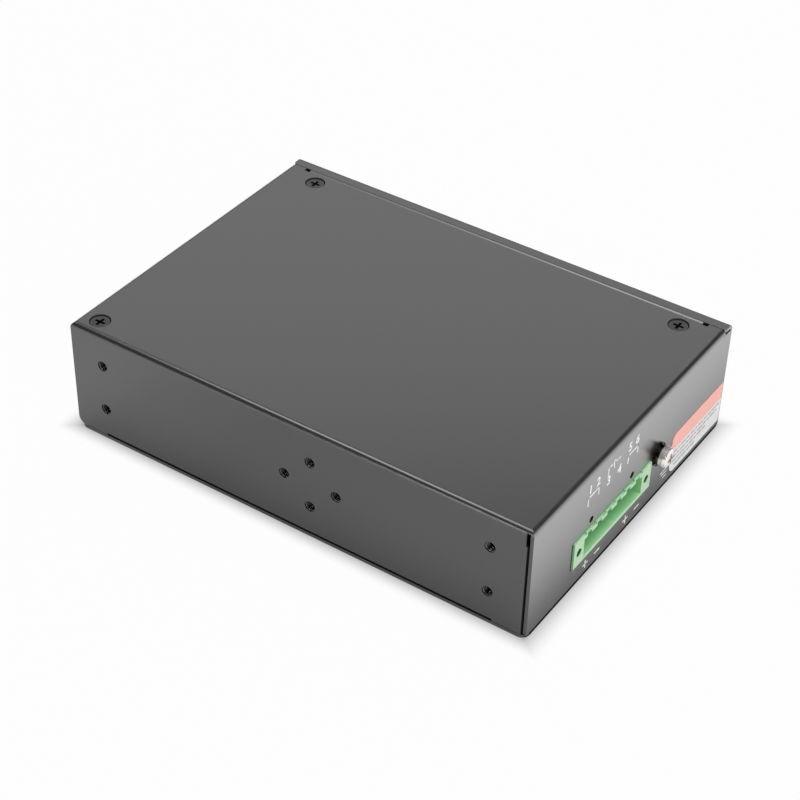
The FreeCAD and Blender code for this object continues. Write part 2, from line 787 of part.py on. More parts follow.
def ground_terminal():
    """Earth screw with its spring and toothed washers, and the clinch nut inside the end flange."""
    y = cell("ground_y")
    z = cell("ground_height")
    clear = cell("thread_radius") + cell("washer_clearance")
    tooth_radius = cell("tooth_washer_radius")
    tooth_disc = rod("tooth_disc", tooth_radius, (half_width, y, z), cell("tooth_washer_thickness"), "x")
    gaps = [rod("tooth_washer_hole", clear, (half_width - past, y, z),
                cell("tooth_washer_thickness") + 2 * past, "x")]
    for tooth in range(TEETH):
        turn = 360.0 * tooth / TEETH
        sine, cosine = math.sin(math.radians(turn)), math.cos(math.radians(turn))
        inner = tooth_radius - cell("tooth_depth")
        across = cell("tooth_gap") / 2
        notch = doc.addObject("Part::Box", f"tooth_gap_{tooth}")
        bind(notch, "Length", cell("tooth_washer_thickness") + 2 * past)
        bind(notch, "Width", cell("tooth_gap"))
        bind(notch, "Height", cell("tooth_depth") + past)
        place = (half_width - past, y - across * cosine - inner * sine, z - across * sine + inner * cosine)
        gaps.append(put(notch, place, Rotation(Vector(1, 0, 0), turn)))
    node("ground_tooth_washer", cut("tooth_washer", tooth_disc, gaps))

    spring_start = half_width + cell("tooth_washer_thickness")
    spring_disc = rod("spring_disc", cell("spring_washer_radius"), (spring_start, y, z),
                      cell("spring_washer_thickness"), "x")
    spring_hole = rod("spring_hole", clear, (spring_start - past, y, z),
                      cell("spring_washer_thickness") + 2 * past, "x")
    split = block("spring_split", (spring_start - past, y - cell("tooth_gap") / 2, z),
                  (ground_screw_seat + past, y + cell("tooth_gap") / 2, z + cell("spring_washer_radius") + past))
    node("ground_spring_washer", cut("spring_washer", spring_disc, [spring_hole, split]))

    node("ground_screw", pan_screw("earth_screw", cell("ground_head_radius"), cell("ground_head_height"),
                                   cell("thread_radius"), cell("ground_screw_length"),
                                   (ground_screw_seat, y, z), "x", ROUND_CROWN))
    nut_start = half_width - wall - cell("ground_nut_thickness")
    nut_body = rod("earth_nut_body", cell("ground_nut_radius"), (nut_start, y, z),
                   cell("ground_nut_thickness"), "x")
    nut_bore = rod("earth_nut_bore", cell("thread_radius") + cell("thread_clearance"), (nut_start - past, y, z),
                   cell("ground_nut_thickness") + 2 * past, "x")
    node("ground_nut", cut("earth_nut", nut_body, [nut_bore]))


def side_label():
    """A thin label whose corners towards the earth screw are rounded."""
    end = panel_back - cell("label_edge_gap")
    start = cell("ground_y") + cell("tooth_washer_radius") + cell("label_gap")
    foot = cell("label_foot")
    head = foot + cell("label_height")
    body = new_body("label_sheet")
    face = outline(body, "label_face", "YZ_Plane", rectangle((start, foot), (end, head)), half_width)
    plate = pad(body, "label_plate", face, cell("label_thickness"))
    round_edges(body, "label_corners", plate, cell("label_corner"),
                [{"y": start, "z": foot}, {"y": start, "z": head}])
    node("side_label", body)


def standoff_places():
    x = half_width - cell("standoff_side_inset")
    return [(-x, rear + cell("left_standoff_inset")), (x, rear + cell("right_standoff_inset")),
            (-x, front - cell("front_standoff_inset")), (x, front - cell("front_standoff_inset"))]


def board_and_supports(pins):
    """The circuit board on four standoffs; the case pillars pass through it."""
    board = block("board_blank", (cell("board_side_gap") + wall - half_width,
                                  rear + wall + cell("board_rear_gap"), board_under),
                  (half_width - wall - cell("board_side_gap"), panel_back - cell("board_front_gap"), board_top))
    tools = []
    for index, (x, y) in enumerate(pillar_places()):
        passage = cell("pillar_flats") / math.sqrt(3) + cell("pillar_clearance")
        tools.append(rod(f"pillar_passage_{index}", passage, (x, y, board_under - past),
                         cell("board_thickness") + 2 * past))
    standoffs = []
    screws = []
    bore = cell("thread_radius") + cell("thread_clearance")
    for index, (x, y) in enumerate(standoff_places()):
        tools.append(rod(f"board_hole_{index}", cell("thread_radius") + cell("hole_clearance"),
                         (x, y, board_under - past), cell("board_thickness") + 2 * past))
        bar = hex_bar(f"standoff_bar_{index}", cell("standoff_flats"), (x, y, floor_top),
                      cell("standoff_height"))
        hole = rod(f"standoff_bore_{index}", bore, (x, y, floor_top - past), cell("standoff_height") + 2 * past)
        standoffs.append(cut(f"standoff_{index}", bar, [hole]))
        screws.append(pan_screw(f"board_screw_{index}", cell("pan_head_radius"), cell("pan_head_height"),
                                cell("thread_radius"), cell("board_screw_length"), (x, y, board_top)))
    node("circuit_board", cut("board", board, tools + [pins]))
    node("board_standoffs", group("standoffs", standoffs))
    node("board_screws", group("mounting_screws", screws))


def port_openings(name, grow, start, end):
    """Cutters for the eight ports: upper latches face up, lower latches face down."""
    tools = []
    half = cell("port_width") / 2 + grow
    latch = cell("latch_width") / 2 + grow
    foot = cell("port_foot")
    ceiling = foot + cell("port_height")
    for column, x in enumerate(port_columns):
        for row in ("lower", "upper"):
            if row == "lower":
                low, high = board_top + foot, board_top + ceiling
                latch_low, latch_high = low - cell("latch_height"), low
            else:
                low, high = port_top - ceiling, port_top - foot
                latch_low, latch_high = high, high + cell("latch_height")
            tools.append(block(f"{name}_{row}_{column}", (x - half, start, low - grow),
                               (x + half, end, high + grow)))
            tools.append(block(f"{name}_{row}_latch_{column}", (x - latch, start, latch_low - grow),
                               (x + latch, end, latch_high + grow)))
    return tools


def link_lamps():
    """Two square lenses in each port's mouth, one on either side of its latch channel."""
    lenses = []
    near = cell("latch_width") / 2 + cell("link_lamp_gap")
    far = cell("port_width") / 2
    for column, x in enumerate(port_columns):
        for row, edge, way in (("lower", board_top + cell("port_foot"), -1),
                               ("upper", port_top - cell("port_foot"), 1)):
            inner = edge + way * cell("link_lamp_gap")
            low, high = (inner, inner + way * cell("link_lamp_height"))[::way]
            for side in (-1, 1):
                start, end = (x + near, x + far) if side > 0 else (x - far, x - near)
                lenses.append(block(f"link_lamp_{row}_{column}_{side + 1}",
                                    (start, port_front - cell("link_lamp_depth"), low), (end, port_front, high)))
    return node("link_lamps", group("port_lenses", lenses))


def port_block():
    """Stacked ports: a moulded insulator in a folded shield, with eight wires in each port."""
    skin = cell("shield_thickness")
    lenses = link_lamps()
    shield_box = block("shield_box", (port_start, port_back, board_top), (port_end, port_front, port_top))
    shield_core = block("shield_core", (port_start + skin, port_back + skin, board_top - past),
                        (port_end - skin, port_front - skin, port_top - skin))
    windows = port_openings("shield_window", skin, port_front - skin - past, port_front + past)
    node("port_shield", cut("shield", shield_box, [shield_core, lenses] + windows))

    insulator = block("insulator", (port_start + skin, port_back + skin, board_top),
                      (port_end - skin, port_front - skin, port_top - skin))
    cavities = port_openings("port_cavity", 0, port_front - cell("port_cavity_depth"), port_front + past)
    node("port_housing", cut("port_insulator", insulator, cavities + [lenses]))

    # The wires start just inside each port and slope away from its wall.
    wires = []
    slope = 12.0
    ceiling = cell("port_foot") + cell("port_height")
    thick = cell("contact_thickness")
    for column, x in enumerate(port_columns):
        for row in ("lower", "upper"):
            for place in range(CONTACTS_PER_PORT):
                offset = cell("contact_pitch") * (place - (CONTACTS_PER_PORT - 1) / 2) - cell("contact_width") / 2
                wire = doc.addObject("Part::Box", f"wire_{row}_{column}_{place}")
                bind(wire, "Length", cell("contact_width"))
                bind(wire, "Width", cell("contact_length"))
                bind(wire, "Height", thick)
                y = port_front - cell("contact_setback")
                run = cell("contact_length") * math.cos(math.radians(slope))
                drop = cell("contact_length") * math.sin(math.radians(slope))
                if row == "lower":
                    z = board_top + ceiling - drop - thick * math.cos(math.radians(slope))
                    turn = Rotation(Vector(1, 0, 0), slope)
                else:
                    z = port_top - ceiling + drop
                    turn = Rotation(Vector(1, 0, 0), -slope)
                wires.append(put(wire, (x + offset, y - run, z), turn))
    node("port_contacts", group("port_wires", wires))


def module_cages():
    """Two pressed cages for optical modules, each with an edge connector at its back."""
    connectors = []
    skin = cell("cage_wall")
    for index, centre in enumerate(cage_centres):
        half = cell("cage_width") / 2
        box = block(f"cage_box_{index}", (centre - half, cage_back, board_top),
                    (centre + half, cage_front, cage_top))
        core = block(f"cage_core_{index}", (centre - half + skin, cage_back + skin, board_top + skin),
                     (centre + half - skin, cage_front + past, cage_top - skin))
        reach = cell("module_connector_width") / 2
        back = cage_back + 2 * skin
        depth = cell("module_connector_depth")
        window = block(f"cage_window_{index}", (centre - reach - skin, back - skin / 2, board_top - past),
                       (centre + reach + skin, back + depth + skin, board_top + skin + past))
        node(f"sfp_cage_{index + 1}", cut(f"cage_{index}", box, [core, window]))
        shell = block(f"connector_shell_{index}", (centre - reach, back, board_top),
                      (centre + reach, back + depth, board_top + cell("module_connector_height")))
        slot_half = cell("card_slot_width") / 2
        slot_foot = board_top + cell("module_connector_height") / 2
        slot = block(f"card_slot_{index}", (centre - slot_half, back + depth / 4, slot_foot),
                     (centre + slot_half, back + depth + past, slot_foot + cell("card_slot_height")))
        connectors.append(cut(f"module_connector_{index}", shell, [slot]))
    node("sfp_connectors", group("module_connectors", connectors))


def status_lamps():
    """A tall lamp holder on the board and four domed lamps through the panel."""
    half = cell("lamp_block_width") / 2
    block_front = panel_back - cell("seam_gap")
    last = lamp_heights[-1]
    holder = block("lamp_holder", (lamp_x - half, block_front - cell("lamp_block_depth"), board_top),
                   (lamp_x + half, block_front, last + cell("lamp_radius") + 1.2))
    node("led_holder", holder)
    lamps = []
    length = front - block_front + cell("lamp_proud")
    for index, height in enumerate(lamp_heights):
        body = new_body(f"lamp_{index}")
        stem = pad(body, f"lamp_stem_{index}", circle(body, f"lamp_rim_{index}", "XY_Plane", cell("lamp_radius")),
                   length)
        bevel_edges(body, f"lamp_dome_{index}", stem, cell("lamp_dome"), [{"z": length}])
        lamps.append(put(body, (lamp_x, block_front, height), ALONG["y"]))
    node("status_leds", group("lamps", lamps))


def moulded_block(name, low, high, width):
    """A moulded block with bevelled upright edges."""
    body = new_body(name)
    face = outline(body, name + "_face", "XY_Plane", rectangle(low, high), low[2])
    blank = pad(body, name + "_blank", face, as_size(high[2]) - low[2])
    corners = [{"x": x, "y": y} for x in (low[0], high[0]) for y in (low[1], high[1])]
    bevel_edges(body, name + "_corners", blank, width, corners)
    return body


def centred(x, y, width, depth, height, foot=None):
    """Corners of a part that stands on the board about a point."""
    foot = board_top if foot is None else foot
    return (x - width / 2, y - depth / 2, foot), (x + width / 2, y + depth / 2, foot + height)


# Parts stand on the board in a chain from its rear edge and from the back of the header.
board_rear = rear + wall + cell("board_rear_gap")
entry_x = header_rear - cell("entry_gap")
can_y = board_rear + cell("can_rear_gap") + cell("capacitor_radius")
coil_rear = can_y + cell("capacitor_radius") + cell("part_gap")
coil_y = coil_rear + cell("inductor_side") / 2
choke_side = cell("choke_radius") * 2
choke_x = entry_x - cell("fuse_radius") - cell("fuse_cap_wall") - cell("part_gap") - cell("choke_radius")
first_coil = choke_x - cell("choke_radius") - cell("part_gap") - cell("inductor_side") / 2
second_coil = first_coil - cell("inductor_side") - cell("part_gap")
chip_x = second_coil - cell("inductor_side") / 2 - cell("part_gap") - cell("sink_side") / 2
chip_y = board_rear + cell("sink_rear_gap") + cell("sink_side") / 2


def switch_core():
    """The switch chip under a finned heat sink, with its flash chip, crystal and transformers."""
    side = cell("chip_side")
    pad_foot = board_top + cell("chip_height")
    sink_foot = pad_foot + cell("pad_thickness")
    node("switch_chip", moulded_block("chip", *centred(chip_x, chip_y, side, side, cell("chip_height")), 0.8))
    heat_pad = centred(chip_x, chip_y, side, side, cell("pad_thickness"), pad_foot)
    node("thermal_pad", block("pad_block", *heat_pad))
    sink = cell("sink_side")
    parts = [block("sink_plate", *centred(chip_x, chip_y, sink, sink, cell("sink_base"), sink_foot))]
    spacing = (sink - cell("fin_thickness")) / (FINS - 1)
    fin_foot = sink_foot + cell("sink_base")
    for fin in range(FINS):
        fin_x = chip_x - (sink - cell("fin_thickness")) / 2 + spacing * fin
        place = centred(fin_x, chip_y, cell("fin_thickness"), sink, cell("fin_height"), fin_foot)
        parts.append(block(f"fin_{fin}", *place))
    node("heat_sink", fuse("sink", parts))

    small = cell("small_chip_side")
    beside = chip_x - sink / 2 - cell("crystal_length") / 2 - cell("part_gap") * 2
    flash_y = chip_y - small - cell("part_gap")
    crystal_y = chip_y + small + cell("part_gap")
    flash = centred(beside, flash_y, small, small, cell("small_chip_height"))
    node("flash_chip", moulded_block("flash", *flash, 0.3))
    crystal = centred(beside, crystal_y, cell("crystal_length"), cell("crystal_width"), cell("crystal_height"))
    node("clock_crystal", moulded_block("crystal", *crystal, cell("crystal_width") * 0.3))
    size = (cell("transformer_width"), cell("transformer_depth"), cell("transformer_height"))
    row_y = port_back - cell("transformer_gap") - cell("transformer_depth") / 2
    modules = [moulded_block(f"transformer_{index}", *centred(port_x, row_y, *size), 0.6)
               for index, port_x in enumerate(port_columns)]
    node("port_transformers", group("transformers", modules))


def power_section():
    """Power entry beside the header: fuse, surge discs, choke, relay, coils and capacitors."""
    cans = [rod(f"can_{index}", cell("capacitor_radius"),
                (choke_x - cell("capacitor_pitch") * index, can_y, board_top), cell("capacitor_height"))
            for index in range(3)]
    node("bulk_capacitors", group("capacitors", cans))

    side = cell("inductor_side")
    coils = [moulded_block(f"coil_{index}", *centred(x, coil_y, side, side, cell("inductor_height")), 2.0)
             for index, x in enumerate((first_coil, second_coil))]
    node("power_inductors", group("inductors", coils))
    small = cell("small_chip_side")
    controller_y = coil_y + (side + small) / 2 + cell("part_gap")
    controller = centred(second_coil, controller_y, small, small, cell("small_chip_height"))
    node("power_controller", moulded_block("controller", *controller, 0.3))
    relay_y = header_end + cell("relay_gap") + cell("relay_length") / 2
    relay = centred(entry_x, relay_y, cell("relay_width"), cell("relay_length"), cell("relay_height"))
    node("alarm_relay", moulded_block("relay", *relay, 0.5))

    cap = cell("fuse_radius") + cell("fuse_cap_wall")
    fuse_start = board_rear + cell("fuse_rear_gap")
    fuse_end = fuse_start + cell("fuse_length")
    tube = rod("fuse_tube", cell("fuse_radius"), (entry_x, fuse_start, board_top + cap),
               cell("fuse_length"), "y")
    ends = [rod(f"fuse_cap_{side}", cap, (entry_x, start, board_top + cap), cell("fuse_cap_length"), "y")
            for side, start in enumerate((fuse_start, fuse_end - cell("fuse_cap_length")))]
    node("input_fuse", fuse("fuse_body", [tube] + ends))

    disc_x = entry_x - cell("disc_thickness") / 2
    discs = [rod(f"disc_{index}", cell("disc_radius"),
                 (disc_x, cell("header_middle_y") + cell("disc_pitch") * index, board_top + cell("disc_radius")),
                 cell("disc_thickness"), "x") for index in range(2)]
    node("surge_absorbers", group("surge_discs", discs))

    # The choke is a wound ring lying on a flat carrier.
    ring = new_body("choke_ring")
    disc = pad(ring, "choke_disc", circle(ring, "choke_rim", "XY_Plane", cell("choke_radius")),
               cell("choke_height"))
    bevel_edges(ring, "choke_shoulder", disc, cell("choke_bevel"), [{"z": cell("choke_height")}])
    pocket(ring, "choke_hole", circle(ring, "choke_bore", "XY_Plane", cell("choke_bore_radius"),
                                      cell("choke_height")), cell("choke_height") + past)
    choke_y = coil_rear + cell("choke_radius")
    carrier = block("choke_carrier", *centred(choke_x, choke_y, choke_side, choke_side,
                                              cell("choke_carrier_height")))
    put(ring, (choke_x, choke_y, board_top + cell("choke_carrier_height")))
    node("common_mode_choke", fuse("choke", [ring, carrier]))


case_shell()
base_panel()
case_fasteners()
pins_node = terminal_pins()
terminal_header(pins_node)
ground_terminal()
side_label()
board_and_supports(pins_node)
port_block()
module_cages()
status_lamps()
switch_core()
power_section()
doc.recompute()

for thing in doc.Objects:
    if "Invalid" in thing.State or "Error" in thing.State:
        raise RuntimeError(f"{thing.Name} failed: {thing.State}")
for piece in NODES:
    if piece.Shape.isNull() or not piece.Shape.isValid():
        raise RuntimeError(f"{piece.Label} has no valid shape")

os.makedirs("parts", exist_ok=True)
for piece in NODES:
    piece.Shape.exportStep(f"parts/{piece.Label}.step")
    print(f"{piece.Label}: {len(piece.Shape.Solids)} solids, {piece.Shape.Volume:.1f} mm3")
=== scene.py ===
import math

import bpy
from mathutils import Matrix, Vector


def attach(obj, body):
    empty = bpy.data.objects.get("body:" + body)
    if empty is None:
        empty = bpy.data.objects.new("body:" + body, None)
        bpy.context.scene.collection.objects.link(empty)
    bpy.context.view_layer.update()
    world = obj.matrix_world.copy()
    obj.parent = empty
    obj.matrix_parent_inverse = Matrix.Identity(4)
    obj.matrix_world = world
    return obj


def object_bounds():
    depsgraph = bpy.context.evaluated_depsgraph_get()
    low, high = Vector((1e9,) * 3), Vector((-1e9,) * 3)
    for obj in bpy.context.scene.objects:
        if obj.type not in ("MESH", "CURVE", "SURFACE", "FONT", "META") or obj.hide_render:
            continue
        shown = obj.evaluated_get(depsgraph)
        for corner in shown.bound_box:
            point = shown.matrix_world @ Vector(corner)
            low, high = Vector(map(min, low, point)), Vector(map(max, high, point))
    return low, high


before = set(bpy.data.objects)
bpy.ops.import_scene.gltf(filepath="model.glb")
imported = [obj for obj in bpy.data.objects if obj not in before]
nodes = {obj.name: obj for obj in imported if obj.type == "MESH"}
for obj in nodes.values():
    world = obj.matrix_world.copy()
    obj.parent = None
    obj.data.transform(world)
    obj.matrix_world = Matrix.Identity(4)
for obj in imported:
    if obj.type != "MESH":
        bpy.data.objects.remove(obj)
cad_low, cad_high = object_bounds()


# The cover and the base are each folded from one sheet of 1 mm steel, then powder
# coated satin black. The coat has a fine orange peel and is a little uneven in gloss.
mm = 0.001


def ramp(tree, value, start, end, low=0.0, high=1.0, kind="LINEAR"):
    """Maps a socket's value from start and end to low and high, and holds it there beyond them."""
    step = tree.nodes.new("ShaderNodeMapRange")
    step.interpolation_type = kind
    for socket, number in (("From Min", start), ("From Max", end), ("To Min", low), ("To Max", high)):
        step.inputs[socket].default_value = number
    tree.links.new(value, step.inputs["Value"])
    return step.outputs["Result"]


def coating(name, dark, light, grain, relief, dull, glossy, metallic=0.0):
    """A finish uneven in tone and gloss, with a fine relief; grain and relief are in millimetres."""
    material = bpy.data.materials.new(name)
    material.use_nodes = True
    tree = material.node_tree
    shader = tree.nodes["Principled BSDF"]
    shader.inputs["Metallic"].default_value = metallic
    place = tree.nodes.new("ShaderNodeTexCoord")
    peel_scale = 1.0 / (grain * mm)
    cloud_scale = 0.12 * peel_scale
    cloud = tree.nodes.new("ShaderNodeTexNoise")
    cloud.inputs["Scale"].default_value = cloud_scale
    cloud.inputs["Detail"].default_value = 3.0
    tone = tree.nodes.new("ShaderNodeValToRGB")
    tone.color_ramp.elements[0].position = 0.35
    tone.color_ramp.elements[0].color = (*dark, 1.0)
    tone.color_ramp.elements[1].position = 0.65
    tone.color_ramp.elements[1].color = (*light, 1.0)
    peel = tree.nodes.new("ShaderNodeTexNoise")
    peel.inputs["Scale"].default_value = peel_scale
    peel.inputs["Detail"].default_value = 2.0
    bump = tree.nodes.new("ShaderNodeBump")
    bump.inputs["Strength"].default_value = 0.5
    bump.inputs["Distance"].default_value = relief * mm
    links = tree.links
    links.new(place.outputs["Object"], cloud.inputs["Vector"])
    links.new(place.outputs["Object"], peel.inputs["Vector"])
    links.new(cloud.outputs["Fac"], tone.inputs["Fac"])
    links.new(peel.outputs["Fac"], bump.inputs["Height"])
    links.new(tone.outputs["Color"], shader.inputs["Base Color"])
    links.new(ramp(tree, cloud.outputs["Fac"], 0.3, 0.7, glossy, dull), shader.inputs["Roughness"])
    links.new(bump.outputs["Normal"], shader.inputs["Normal"])
    return material


def dress(node, material):
    """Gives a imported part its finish."""
    for slot in nodes[node].material_slots:
        slot.material = material


powder_coat = coating("powder coat", (0.013, 0.013, 0.013), (0.015, 0.015, 0.015),
                      grain=0.35, relief=0.005, dull=0.345, glossy=0.315)
powder = powder_coat.node_tree.nodes["Principled BSDF"]
for socket, value in (("IOR", 2.3), ("Coat Weight", 1.0), ("Coat IOR", 2.3), ("Coat Roughness", 0.22)):
    powder.inputs[socket].default_value = value


# The cover's rear edge rolls off into a joggle between two notches. A pale line is painted along it as a
# highlight, fading towards the plain end. In the countersinks, at the foot of the end and in the seams at
# the front corner and the header the gloss is taken off, so these places render dark as painted shade.
cover_rear = 48.7
joggle_half = 67.8
highlight_width = 0.7
highlight_grey = (0.24, 0.24, 0.24)
plain_specular = 0.5


def combine(tree, operation, first, second):
    """A math node on two sockets or numbers."""
    step = tree.nodes.new("ShaderNodeMath")
    step.operation = operation
    for socket, value in zip(step.inputs, (first, second)):
        if isinstance(value, (int, float)):
            socket.default_value = value
        else:
            tree.links.new(value, socket)
    return step.outputs[0]


def object_axes(tree):
    """The X, Y and Z of a point in the object's own frame."""
    place = tree.nodes.new("ShaderNodeTexCoord")
    axes = tree.nodes.new("ShaderNodeSeparateXYZ")
    tree.links.new(place.outputs["Object"], axes.inputs["Vector"])
    return axes.outputs["X"], axes.outputs["Y"], axes.outputs["Z"]


def inside(tree, axes, box):
    """A share that is 1 in a box, given as pairs of limits in millimetres, and 0 outside."""
    share = 1.0
    for axis, (start, end) in zip(axes, box):
        share = combine(tree, "MULTIPLY", combine(tree, "GREATER_THAN", axis, start * mm), share)
        share = combine(tree, "MULTIPLY", combine(tree, "LESS_THAN", axis, end * mm), share)
    return share


def tint(material, colour, share):
    """Lays a colour over a finish, by a share from 0 to 1."""
    tree = material.node_tree
    base_colour = tree.nodes["Principled BSDF"].inputs["Base Color"]
    layer = tree.nodes.new("ShaderNodeMix")
    layer.data_type = "RGBA"
    layer.inputs["B"].default_value = (*colour, 1.0)
    tree.links.new(share, layer.inputs["Factor"])
    tree.links.new(base_colour.links[0].from_socket, layer.inputs["A"])
    tree.links.new(layer.outputs["Result"], base_colour)


def sheet_coat(name, shade_boxes):
    """The powder coat with its gloss taken off in some boxes, which then render near black as painted shade.
    """
    material = powder_coat.copy()
    material.name = name
    tree = material.node_tree
    axes = object_axes(tree)
    painted_shade = 0.0
    for box in shade_boxes:
        painted_shade = combine(tree, "MAXIMUM", inside(tree, axes, box), painted_shade)
    sheen = combine(tree, "SUBTRACT", 1.0, painted_shade)
    specular = combine(tree, "MULTIPLY", sheen, plain_specular)
    shader = tree.nodes["Principled BSDF"]
    tree.links.new(sheen, shader.inputs["Coat Weight"])
    tree.links.new(specular, shader.inputs["Specular IOR Level"])
    return material


# Boxes in millimetres where the coat's gloss is taken off so they render near black: painted shade in the
# countersinks, at the end's foot and in the seams.
countersink_shade = ((-72.0, 72.0), (-51.0, 53.0), (34.0, 35.98))
end_foot_shade = ((73.7, 74.1), (-54.0, 54.0), (-0.1, 1.6))
corner_seam_shade = ((72.3, 73.05), (-53.1, -52.0), (1.0, 33.5))
header_seam_shade = ((73.9, 74.1), (-32.2, -31.4), (7.8, 16.8))
highlight_edge = ((-joggle_half, joggle_half), (cover_rear - highlight_width, cover_rear + 0.1), (35.9, 36.1))
dress("base_panel", sheet_coat("base coat", [end_foot_shade]))
cover_coat = sheet_coat("cover coat", [countersink_shade, end_foot_shade, corner_seam_shade, header_seam_shade])
tree = cover_coat.node_tree
axes = object_axes(tree)
# A painted highlight: a pale grey line along the cover's rear edge, strongest at the header's end and fading
# towards the plain end.
highlight_fade = ramp(tree, axes[0], -65.0 * mm, 45.0 * mm, 0.12, 1.0)
tint(cover_coat, highlight_grey, combine(tree, "MULTIPLY", inside(tree, axes, highlight_edge), highlight_fade))
dress("case_shell", cover_coat)


# Eight holes in the long face are plunged and tapped, so each holds three turns of thread.
# One coil of bare cut thread is swept round the first hole and copied to the others.
hole_places = [(-63.3, 10.5), (-63.3, 25.5), (61.9, 10.5), (61.9, 25.5),
               (-1.55, 18.0), (15.15, 18.0), (6.8, 10.5), (6.8, 25.5)]
thread_radius = 1.7
ridge_radius = 0.3
pitch = 0.62
turns = 3
steps_in_a_turn = 28
thread_mouth = -52.7
thread_steel = coating("cut thread", (0.17, 0.17, 0.17), (0.27, 0.27, 0.27),
                       grain=0.2, relief=0.01, dull=0.3, glossy=0.2, metallic=1.0)


def join(pieces, name, material):
    """Makes one piece of several and gives it its finish."""
    bpy.ops.object.select_all(action="DESELECT")
    for piece in pieces:
        piece.select_set(True)
    bpy.context.view_layer.objects.active = pieces[0]
    bpy.ops.object.join()
    whole = bpy.context.object
    whole.name = name
    whole.data.materials.clear()
    whole.data.materials.append(material)
    return whole


bpy.ops.object.select_all(action="DESELECT")
bpy.ops.mesh.primitive_circle_add(vertices=3, radius=ridge_radius * mm, location=(thread_radius * mm, 0, 0),
                                  rotation=(math.pi / 2, -math.pi / 2, 0))
coil = bpy.context.object
bpy.ops.object.transform_apply(location=True, rotation=True, scale=True)
sweep = coil.modifiers.new("sweep", "SCREW")
sweep.axis = "Z"
sweep.angle = math.tau
sweep.screw_offset = pitch * mm
sweep.iterations = turns
sweep.steps = steps_in_a_turn
sweep.render_steps = steps_in_a_turn
sweep.use_smooth_shade = False
bpy.ops.object.modifier_apply(modifier="sweep")
bpy.ops.object.mode_set(mode="EDIT")
bpy.ops.mesh.select_all(action="SELECT")
bpy.ops.mesh.remove_doubles(threshold=1e-6)
bpy.ops.mesh.fill_holes(sides=3)
bpy.ops.mesh.normals_make_consistent(inside=False)
bpy.ops.object.mode_set(mode="OBJECT")
first_x, first_z = hole_places[0]
coil.rotation_euler = (-math.pi / 2, 0, 0)
coil.location = (first_x * mm, thread_mouth * mm, first_z * mm)
bpy.ops.object.transform_apply(location=True, rotation=True, scale=True)
coils = [coil]
for x, z in hole_places[1:]:
    bpy.ops.object.select_all(action="DESELECT")
    coil.select_set(True)
    bpy.context.view_layer.objects.active = coil
    bpy.ops.object.duplicate()
    next_coil = bpy.context.object
    next_coil.location = ((x - first_x) * mm, 0, (z - first_z) * mm)
    bpy.ops.object.transform_apply(location=True, rotation=True, scale=True)
    coils.append(next_coil)
hole_threads = join(coils, "hole_threads", thread_steel)
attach(hole_threads, "root")


# Three cross-recessed countersunk screws hold the cover to hexagon pillars inside.
# The screws are black zinc plated and the pillars bright zinc plated.
black_zinc = coating("black zinc", (0.19, 0.19, 0.19), (0.26, 0.26, 0.26),
                     grain=0.3, relief=0.004, dull=0.36, glossy=0.26, metallic=1.0)
bright_zinc = coating("bright zinc", (0.55, 0.56, 0.58), (0.68, 0.69, 0.70),
                      grain=0.5, relief=0.004, dull=0.34, glossy=0.22, metallic=1.0)
dress("case_screws", black_zinc)
dress("case_pillars", bright_zinc)


# The earth screw is a nickel plated pan head screw over a black spring washer and a
# black toothed washer. A clinch nut behind the flange takes it.
nickel = coating("polished nickel", (0.80, 0.75, 0.74), (0.94, 0.89, 0.88),
                 grain=0.6, relief=0.05, dull=0.3, glossy=0.16, metallic=0.78)
burnt_steel = coating("burnt spring steel", (0.05, 0.045, 0.044), (0.16, 0.145, 0.14),
                      grain=0.3, relief=0.06, dull=0.22, glossy=0.1, metallic=1.0)
dress("ground_screw", nickel)
dress("ground_spring_washer", burnt_steel)
dress("ground_tooth_washer", burnt_steel)
dress("ground_nut", bright_zinc)


# The power and alarm header is moulded in pale green polyamide, a slightly waxy plastic. Painted light makes
# its raised rims paler, and painted shade makes the socket and the screw holes of its flanges a deeper
# green.
# Its tinned square pins lie in the socket, and two steel nuts sit behind the flanges.
header_green = coating("green polyamide", (0.27, 0.58, 0.28), (0.33, 0.64, 0.33),
                       grain=0.5, relief=0.004, dull=0.5, glossy=0.4)
header_shader = header_green.node_tree.nodes["Principled BSDF"]
header_shader.inputs["Subsurface Weight"].default_value = 0.15
header_shader.inputs["Subsurface Radius"].default_value = (0.4 * mm, 0.8 * mm, 0.4 * mm)
header_shader.inputs["Subsurface Scale"].default_value = 1.0
socket_top = 74.2
socket_deep = 71.5
rim_foot = 74.35
rim_top = 74.45
screw_hole_half = 1.3
tree = header_green.node_tree
axes = object_axes(tree)
# Painted shade: the green turns deeper towards the back of the socket.
tint(header_green, (0.17, 0.46, 0.20), ramp(tree, axes[0], socket_top * mm, socket_deep * mm))
# Painted light: the raised rims at the header's front are painted a paler green.
tint(header_green, (0.43, 0.62, 0.42), ramp(tree, axes[0], rim_foot * mm, rim_top * mm))
# Painted shade: the screw holes in the flanges are painted a near black green.
for y in (-28.98, 6.58):
    screw_hole_shade = ((60.0, 74.3), (y - screw_hole_half, y + screw_hole_half), (11.0, 13.6))
    tint(header_green, (0.03, 0.10, 0.035), inside(tree, axes, screw_hole_shade))
tinned = coating("tinned brass", (0.60, 0.59, 0.57), (0.74, 0.73, 0.71),
                 grain=0.3, relief=0.003, dull=0.35, glossy=0.2, metallic=1.0)
dress("terminal_header", header_green)
dress("terminal_pins", tinned)
dress("header_nuts", bright_zinc)


